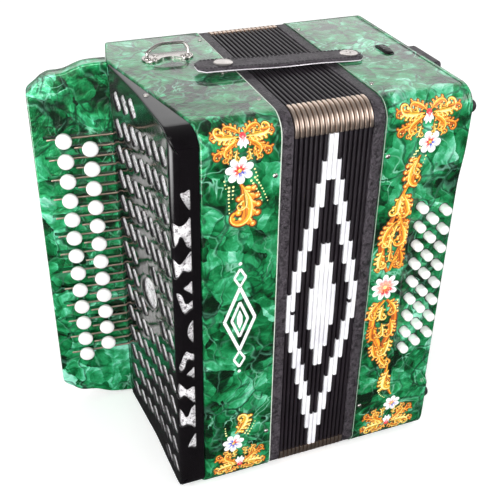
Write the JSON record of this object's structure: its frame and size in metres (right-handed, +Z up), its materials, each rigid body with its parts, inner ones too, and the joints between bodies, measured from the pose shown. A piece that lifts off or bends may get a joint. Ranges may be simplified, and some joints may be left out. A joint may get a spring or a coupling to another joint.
{
  "type": "button accordion",
  "caption": "Free-reed button accordion with wedge treble case, slanted fingerboard, pierced grille, folding bellows that slides open, and bass case with button board.",
  "frame": {"origin": "point on the floor in the middle of the flat lower side of the treble half, half way from front to back", "axes": "+X from the treble half to the bass half, the way the bellows opens; -Y to the front, towards the listener; +Z up, along the rows of buttons"},
  "size_m": [0.3354, 0.2037, 0.3518],
  "materials": {
    "celluloid_green": "pearled gloss",
    "grille_black": "gloss",
    "button_ivory": "gloss",
    "bellows_cloth": "matt",
    "strap_leather": "satin",
    "nickel": "polished",
    "air_black": "gloss"
  },
  "bodies": {
    "treble_half": {"treble_case": "celluloid_green", "fingerboard": "celluloid_green", "treble_grille": "grille_black", "strap_bracket": "nickel", "bellows": "bellows_cloth"},
    "bass_half": {"bass_case": "celluloid_green", "bass_end_cover": "celluloid_green", "hand_strap": "strap_leather"},
    "strap": {"bellows_strap": "strap_leather"},
    "air_key": {"air_button": "air_black"},
    "treble_key_01": {"treble_key_01": "button_ivory"},
    "treble_key_02": {"treble_key_02": "button_ivory"},
    "treble_key_03": {"treble_key_03": "button_ivory"},
    "treble_key_04": {"treble_key_04": "button_ivory"},
    "treble_key_05": {"treble_key_05": "button_ivory"},
    "treble_key_06": {"treble_key_06": "button_ivory"},
    "treble_key_07": {"treble_key_07": "button_ivory"},
    "treble_key_08": {"treble_key_08": "button_ivory"},
    "treble_key_09": {"treble_key_09": "button_ivory"},
    "treble_key_10": {"treble_key_10": "button_ivory"},
    "treble_key_11": {"treble_key_11": "button_ivory"},
    "treble_key_12": {"treble_key_12": "button_ivory"},
    "treble_key_13": {"treble_key_13": "button_ivory"},
    "treble_key_14": {"treble_key_14": "button_ivory"},
    "treble_key_15": {"treble_key_15": "button_ivory"},
    "treble_key_16": {"treble_key_16": "button_ivory"},
    "treble_key_17": {"treble_key_17": "button_ivory"},
    "treble_key_18": {"treble_key_18": "button_ivory"},
    "treble_key_19": {"treble_key_19": "button_ivory"},
    "treble_key_20": {"treble_key_20": "button_ivory"},
    "treble_key_21": {"treble_key_21": "button_ivory"},
    "treble_key_22": {"treble_key_22": "button_ivory"},
    "treble_key_23": {"treble_key_23": "button_ivory"},
    "treble_key_24": {"treble_key_24": "button_ivory"},
    "treble_key_25": {"treble_key_25": "button_ivory"},
    "bass_button_01": {"bass_button_01": "button_ivory"},
    "bass_button_02": {"bass_button_02": "button_ivory"},
    "bass_button_03": {"bass_button_03": "button_ivory"},
    "bass_button_04": {"bass_button_04": "button_ivory"},
    "bass_button_05": {"bass_button_05": "button_ivory"},
    "bass_button_06": {"bass_button_06": "button_ivory"},
    "bass_button_07": {"bass_button_07": "button_ivory"},
    "bass_button_08": {"bass_button_08": "button_ivory"},
    "bass_button_09": {"bass_button_09": "button_ivory"},
    "bass_button_10": {"bass_button_10": "button_ivory"},
    "bass_button_11": {"bass_button_11": "button_ivory"},
    "bass_button_12": {"bass_button_12": "button_ivory"},
    "bass_button_13": {"bass_button_13": "button_ivory"},
    "bass_button_14": {"bass_button_14": "button_ivory"},
    "bass_button_15": {"bass_button_15": "button_ivory"},
    "bass_button_16": {"bass_button_16": "button_ivory"},
    "bass_button_17": {"bass_button_17": "button_ivory"},
    "bass_button_18": {"bass_button_18": "button_ivory"},
    "bass_button_19": {"bass_button_19": "button_ivory"},
    "bass_button_20": {"bass_button_20": "button_ivory"},
    "bass_button_21": {"bass_button_21": "button_ivory"},
    "bass_button_22": {"bass_button_22": "button_ivory"},
    "bass_button_23": {"bass_button_23": "button_ivory"},
    "bass_button_24": {"bass_button_24": "button_ivory"},
    "bass_button_25": {"bass_button_25": "button_ivory"}
  },
  "joints": [
    {"name": "bellows_open", "type": "slide", "parent": "treble_half", "child": "bass_half", "axis": [1, 0, 0], "range_m": [0, 0.36], "deforming": ["bellows"]},
    {"name": "bellows_strap_swing", "type": "hinge", "parent": "bass_half", "child": "strap", "pos_m": [0.1236, -0.0102, 0.3404], "axis": [0, 0, 1], "range_deg": [0, 80]},
    {"name": "air_key_press", "type": "slide", "parent": "bass_half", "child": "air_key", "axis": [0, 0, -1], "range_m": [0, 0.0035], "stiffness_N_per_m": 250, "springref_m": -0.004},
    {"name": "key_treble_01", "type": "hinge", "parent": "treble_half", "child": "treble_key_01", "pos_m": [-0.051, 0.0423, 0.27872], "axis": [0, 0, -1], "range_deg": [0, 4.2], "stiffness_Nm_per_rad": 0.25, "springref_deg": -8.59},
    {"name": "key_treble_02", "type": "hinge", "parent": "treble_half", "child": "treble_key_02", "pos_m": [-0.051, 0.0423, 0.26966], "axis": [0, 0, -1], "range_deg": [0, 5], "stiffness_Nm_per_rad": 0.25, "springref_deg": -8.59},
    {"name": "key_treble_03", "type": "hinge", "parent": "treble_half", "child": "treble_key_03", "pos_m": [-0.051, 0.0423, 0.2606], "axis": [0, 0, -1], "range_deg": [0, 4.2], "stiffness_Nm_per_rad": 0.25, "springref_deg": -8.59},
    {"name": "key_treble_04", "type": "hinge", "parent": "treble_half", "child": "treble_key_04", "pos_m": [-0.051, 0.0423, 0.25154], "axis": [0, 0, -1], "range_deg": [0, 5], "stiffness_Nm_per_rad": 0.25, "springref_deg": -8.59},
    {"name": "key_treble_05", "type": "hinge", "parent": "treble_half", "child": "treble_key_05", "pos_m": [-0.051, 0.0423, 0.24248], "axis": [0, 0, -1], "range_deg": [0, 4.2], "stiffness_Nm_per_rad": 0.25, "springref_deg": -8.59},
    {"name": "key_treble_06", "type": "hinge", "parent": "treble_half", "child": "treble_key_06", "pos_m": [-0.051, 0.0423, 0.23342], "axis": [0, 0, -1], "range_deg": [0, 5], "stiffness_Nm_per_rad": 0.25, "springref_deg": -8.59},
    {"name": "key_treble_07", "type": "hinge", "parent": "treble_half", "child": "treble_key_07", "pos_m": [-0.051, 0.0423, 0.22436], "axis": [0, 0, -1], "range_deg": [0, 4.2], "stiffness_Nm_per_rad": 0.25, "springref_deg": -8.59},
    {"name": "key_treble_08", "type": "hinge", "parent": "treble_half", "child": "treble_key_08", "pos_m": [-0.051, 0.0423, 0.2153], "axis": [0, 0, -1], "range_deg": [0, 5], "stiffness_Nm_per_rad": 0.25, "springref_deg": -8.59},
    {"name": "key_treble_09", "type": "hinge", "parent": "treble_half", "child": "treble_key_09", "pos_m": [-0.051, 0.0423, 0.20624], "axis": [0, 0, -1], "range_deg": [0, 4.2], "stiffness_Nm_per_rad": 0.25, "springref_deg": -8.59},
    {"name": "key_treble_10", "type": "hinge", "parent": "treble_half", "child": "treble_key_10", "pos_m": [-0.051, 0.0423, 0.19718], "axis": [0, 0, -1], "range_deg": [0, 5], "stiffness_Nm_per_rad": 0.25, "springref_deg": -8.59},
    {"name": "key_treble_11", "type": "hinge", "parent": "treble_half", "child": "treble_key_11", "pos_m": [-0.051, 0.0423, 0.18812], "axis": [0, 0, -1], "range_deg": [0, 4.2], "stiffness_Nm_per_rad": 0.25, "springref_deg": -8.59},
    {"name": "key_treble_12", "type": "hinge", "parent": "treble_half", "child": "treble_key_12", "pos_m": [-0.051, 0.0423, 0.17906], "axis": [0, 0, -1], "range_deg": [0, 5], "stiffness_Nm_per_rad": 0.25, "springref_deg": -8.59},
    {"name": "key_treble_13", "type": "hinge", "parent": "treble_half", "child": "treble_key_13", "pos_m": [-0.051, 0.0423, 0.17], "axis": [0, 0, -1], "range_deg": [0, 4.2], "stiffness_Nm_per_rad": 0.25, "springref_deg": -8.59},
    {"name": "key_treble_14", "type": "hinge", "parent": "treble_half", "child": "treble_key_14", "pos_m": [-0.051, 0.0423, 0.16094], "axis": [0, 0, -1], "range_deg": [0, 5], "stiffness_Nm_per_rad": 0.25, "springref_deg": -8.59},
    {"name": "key_treble_15", "type": "hinge", "parent": "treble_half", "child": "treble_key_15", "pos_m": [-0.051, 0.0423, 0.15188], "axis": [0, 0, -1], "range_deg": [0, 4.2], "stiffness_Nm_per_rad": 0.25, "springref_deg": -8.59},
    {"name": "key_treble_16", "type": "hinge", "parent": "treble_half", "child": "treble_key_16", "pos_m": [-0.051, 0.0423, 0.14282], "axis": [0, 0, -1], "range_deg": [0, 5], "stiffness_Nm_per_rad": 0.25, "springref_deg": -8.59},
    {"name": "key_treble_17", "type": "hinge", "parent": "treble_half", "child": "treble_key_17", "pos_m": [-0.051, 0.0423, 0.13376], "axis": [0, 0, -1], "range_deg": [0, 4.2], "stiffness_Nm_per_rad": 0.25, "springref_deg": -8.59},
    {"name": "key_treble_18", "type": "hinge", "parent": "treble_half", "child": "treble_key_18", "pos_m": [-0.051, 0.0423, 0.1247], "axis": [0, 0, -1], "range_deg": [0, 5], "stiffness_Nm_per_rad": 0.25, "springref_deg": -8.59},
    {"name": "key_treble_19", "type": "hinge", "parent": "treble_half", "child": "treble_key_19", "pos_m": [-0.051, 0.0423, 0.11564], "axis": [0, 0, -1], "range_deg": [0, 4.2], "stiffness_Nm_per_rad": 0.25, "springref_deg": -8.59},
    {"name": "key_treble_20", "type": "hinge", "parent": "treble_half", "child": "treble_key_20", "pos_m": [-0.051, 0.0423, 0.10658], "axis": [0, 0, -1], "range_deg": [0, 5], "stiffness_Nm_per_rad": 0.25, "springref_deg": -8.59},
    {"name": "key_treble_21", "type": "hinge", "parent": "treble_half", "child": "treble_key_21", "pos_m": [-0.051, 0.0423, 0.09752], "axis": [0, 0, -1], "range_deg": [0, 4.2], "stiffness_Nm_per_rad": 0.25, "springref_deg": -8.59},
    {"name": "key_treble_22", "type": "hinge", "parent": "treble_half", "child": "treble_key_22", "pos_m": [-0.051, 0.0423, 0.08846], "axis": [0, 0, -1], "range_deg": [0, 5], "stiffness_Nm_per_rad": 0.25, "springref_deg": -8.59},
    {"name": "key_treble_23", "type": "hinge", "parent": "treble_half", "child": "treble_key_23", "pos_m": [-0.051, 0.0423, 0.0794], "axis": [0, 0, -1], "range_deg": [0, 4.2], "stiffness_Nm_per_rad": 0.25, "springref_deg": -8.59},
    {"name": "key_treble_24", "type": "hinge", "parent": "treble_half", "child": "treble_key_24", "pos_m": [-0.051, 0.0423, 0.07034], "axis": [0, 0, -1], "range_deg": [0, 5], "stiffness_Nm_per_rad": 0.25, "springref_deg": -8.59},
    {"name": "key_treble_25", "type": "hinge", "parent": "treble_half", "child": "treble_key_25", "pos_m": [-0.051, 0.0423, 0.06128], "axis": [0, 0, -1], "range_deg": [0, 4.2], "stiffness_Nm_per_rad": 0.25, "springref_deg": -8.59},
    {"name": "key_bass_01", "type": "slide", "parent": "bass_half", "child": "bass_button_01", "axis": [0, 1, 0], "range_m": [0, 0.003], "stiffness_N_per_m": 200, "springref_m": -0.004},
    {"name": "key_bass_02", "type": "slide", "parent": "bass_half", "child": "bass_button_02", "axis": [0, 1, 0], "range_m": [0, 0.003], "stiffness_N_per_m": 200, "springref_m": -0.004},
    {"name": "key_bass_03", "type": "slide", "parent": "bass_half", "child": "bass_button_03", "axis": [0, 1, 0], "range_m": [0, 0.003], "stiffness_N_per_m": 200, "springref_m": -0.004},
    {"name": "key_bass_04", "type": "slide", "parent": "bass_half", "child": "bass_button_04", "axis": [0, 1, 0], "range_m": [0, 0.003], "stiffness_N_per_m": 200, "springref_m": -0.004},
    {"name": "key_bass_05", "type": "slide", "parent": "bass_half", "child": "bass_button_05", "axis": [0, 1, 0], "range_m": [0, 0.003], "stiffness_N_per_m": 200, "springref_m": -0.004},
    {"name": "key_bass_06", "type": "slide", "parent": "bass_half", "child": "bass_button_06", "axis": [0, 1, 0], "range_m": [0, 0.003], "stiffness_N_per_m": 200, "springref_m": -0.004},
    {"name": "key_bass_07", "type": "slide", "parent": "bass_half", "child": "bass_button_07", "axis": [0, 1, 0], "range_m": [0, 0.003], "stiffness_N_per_m": 200, "springref_m": -0.004},
    {"name": "key_bass_08", "type": "slide", "parent": "bass_half", "child": "bass_button_08", "axis": [0, 1, 0], "range_m": [0, 0.003], "stiffness_N_per_m": 200, "springref_m": -0.004},
    {"name": "key_bass_09", "type": "slide", "parent": "bass_half", "child": "bass_button_09", "axis": [0, 1, 0], "range_m": [0, 0.003], "stiffness_N_per_m": 200, "springref_m": -0.004},
    {"name": "key_bass_10", "type": "slide", "parent": "bass_half", "child": "bass_button_10", "axis": [0, 1, 0], "range_m": [0, 0.003], "stiffness_N_per_m": 200, "springref_m": -0.004},
    {"name": "key_bass_11", "type": "slide", "parent": "bass_half", "child": "bass_button_11", "axis": [0, 1, 0], "range_m": [0, 0.003], "stiffness_N_per_m": 200, "springref_m": -0.004},
    {"name": "key_bass_12", "type": "slide", "parent": "bass_half", "child": "bass_button_12", "axis": [0, 1, 0], "range_m": [0, 0.003], "stiffness_N_per_m": 200, "springref_m": -0.004},
    {"name": "key_bass_13", "type": "slide", "parent": "bass_half", "child": "bass_button_13", "axis": [0, 1, 0], "range_m": [0, 0.003], "stiffness_N_per_m": 200, "springref_m": -0.004},
    {"name": "key_bass_14", "type": "slide", "parent": "bass_half", "child": "bass_button_14", "axis": [0, 1, 0], "range_m": [0, 0.003], "stiffness_N_per_m": 200, "springref_m": -0.004},
    {"name": "key_bass_15", "type": "slide", "parent": "bass_half", "child": "bass_button_15", "axis": [0, 1, 0], "range_m": [0, 0.003], "stiffness_N_per_m": 200, "springref_m": -0.004},
    {"name": "key_bass_16", "type": "slide", "parent": "bass_half", "child": "bass_button_16", "axis": [0, 1, 0], "range_m": [0, 0.003], "stiffness_N_per_m": 200, "springref_m": -0.004},
    {"name": "key_bass_17", "type": "slide", "parent": "bass_half", "child": "bass_button_17", "axis": [0, 1, 0], "range_m": [0, 0.003], "stiffness_N_per_m": 200, "springref_m": -0.004},
    {"name": "key_bass_18", "type": "slide", "parent": "bass_half", "child": "bass_button_18", "axis": [0, 1, 0], "range_m": [0, 0.003], "stiffness_N_per_m": 200, "springref_m": -0.004},
    {"name": "key_bass_19", "type": "slide", "parent": "bass_half", "child": "bass_button_19", "axis": [0, 1, 0], "range_m": [0, 0.003], "stiffness_N_per_m": 200, "springref_m": -0.004},
    {"name": "key_bass_20", "type": "slide", "parent": "bass_half", "child": "bass_button_20", "axis": [0, 1, 0], "range_m": [0, 0.003], "stiffness_N_per_m": 200, "springref_m": -0.004},
    {"name": "key_bass_21", "type": "slide", "parent": "bass_half", "child": "bass_button_21", "axis": [0, 1, 0], "range_m": [0, 0.003], "stiffness_N_per_m": 200, "springref_m": -0.004},
    {"name": "key_bass_22", "type": "slide", "parent": "bass_half", "child": "bass_button_22", "axis": [0, 1, 0], "range_m": [0, 0.003], "stiffness_N_per_m": 200, "springref_m": -0.004},
    {"name": "key_bass_23", "type": "slide", "parent": "bass_half", "child": "bass_button_23", "axis": [0, 1, 0], "range_m": [0, 0.003], "stiffness_N_per_m": 200, "springref_m": -0.004},
    {"name": "key_bass_24", "type": "slide", "parent": "bass_half", "child": "bass_button_24", "axis": [0, 1, 0], "range_m": [0, 0.003], "stiffness_N_per_m": 200, "springref_m": -0.004},
    {"name": "key_bass_25", "type": "slide", "parent": "bass_half", "child": "bass_button_25", "axis": [0, 1, 0], "range_m": [0, 0.003], "stiffness_N_per_m": 200, "springref_m": -0.004}
  ]
}
